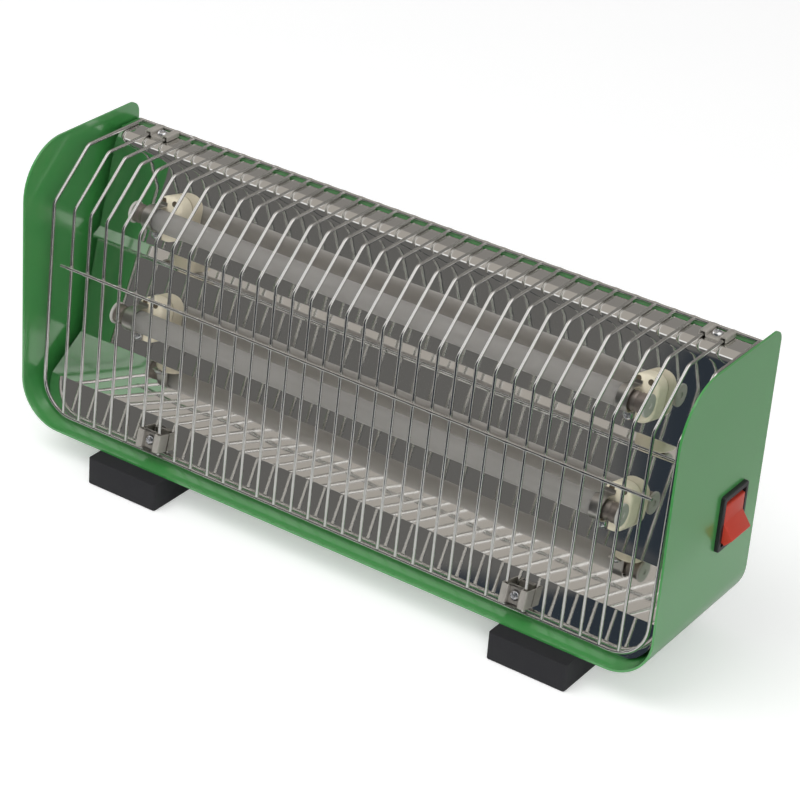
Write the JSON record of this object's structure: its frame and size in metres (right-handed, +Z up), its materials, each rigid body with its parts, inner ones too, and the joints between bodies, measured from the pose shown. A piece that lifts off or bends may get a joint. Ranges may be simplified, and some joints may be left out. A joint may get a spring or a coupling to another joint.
{
  "type": "radiant heater",
  "caption": "Free-standing radiant heater: sheet case open at the front, quartz tubes on ceramic holders before a folded reflector, a bent wire guard and a rocker switch.",
  "frame": {"origin": "middle of the bounding box's underside, on the plane that the feet stand on", "axes": "+X along the case towards the wall with the switch, +Y from the open front to the back, +Z up"},
  "size_m": [0.4078, 0.1146, 0.1765],
  "materials": {
    "green_paint": "gloss",
    "polished_aluminium": "mirror polished",
    "milky_quartz": "milky satin",
    "coil_wire": "dull",
    "cap_steel": "satin",
    "cream_ceramic": "matte",
    "strap_steel": "satin",
    "chromed_wire": "polished",
    "clip_steel": "satin",
    "brass": "satin",
    "screw_steel": "plated",
    "foot_rubber": "matte",
    "black_plastic": "satin",
    "red_plastic": "gloss",
    "lead_sleeve": "woven sleeve",
    "block_plastic": "matte",
    "gland_plastic": "matte"
  },
  "bodies": {
    "heater": {"back_cover": "green_paint", "cable_gland": "gland_plastic", "case_wrap": "green_paint", "ceramic_holder_lower_left": "cream_ceramic", "ceramic_holder_lower_right": "cream_ceramic", "ceramic_holder_upper_left": "cream_ceramic", "ceramic_holder_upper_right": "cream_ceramic", "clip_screws": "screw_steel", "cover_screws": "screw_steel", "end_cap_lower_left": "cap_steel", "end_cap_lower_right": "cap_steel", "end_cap_upper_left": "cap_steel", "end_cap_upper_right": "cap_steel", "foot_left": "foot_rubber", "foot_right": "foot_rubber", "foot_screws": "screw_steel", "guard_clip_bottom_left": "clip_steel", "guard_clip_bottom_right": "clip_steel", "guard_clip_top_left": "clip_steel", "guard_clip_top_right": "clip_steel", "guard_frame": "chromed_wire", "guard_middle_rod": "chromed_wire", "guard_rear_rod": "chromed_wire", "guard_wires": "chromed_wire", "heating_coil_lower": "coil_wire", "heating_coil_upper": "coil_wire", "insulating_washers": "cream_ceramic", "lead_bridge_left": "lead_sleeve", "lead_bridge_right": "lead_sleeve", "lead_supply_live": "lead_sleeve", "lead_supply_neutral": "lead_sleeve", "lead_switched_live": "lead_sleeve", "quartz_tube_lower": "milky_quartz", "quartz_tube_upper": "milky_quartz", "reflector": "polished_aluminium", "switch_blades": "brass", "switch_housing": "black_plastic", "terminal_block": "block_plastic", "terminal_block_screw": "screw_steel", "terminal_nuts": "brass", "terminal_screws": "screw_steel", "tube_strap_lower_left": "strap_steel", "tube_strap_lower_right": "strap_steel", "tube_strap_upper_left": "strap_steel", "tube_strap_upper_right": "strap_steel"},
    "rocker": {"switch_rocker": "red_plastic"}
  },
  "joints": [
    {"name": "rocker_hinge", "type": "hinge", "parent": "heater", "child": "rocker", "pos_m": [0.19683, 0.01785, 0.0838], "axis": [0, 1, 0], "range_deg": [0, 36]}
  ]
}
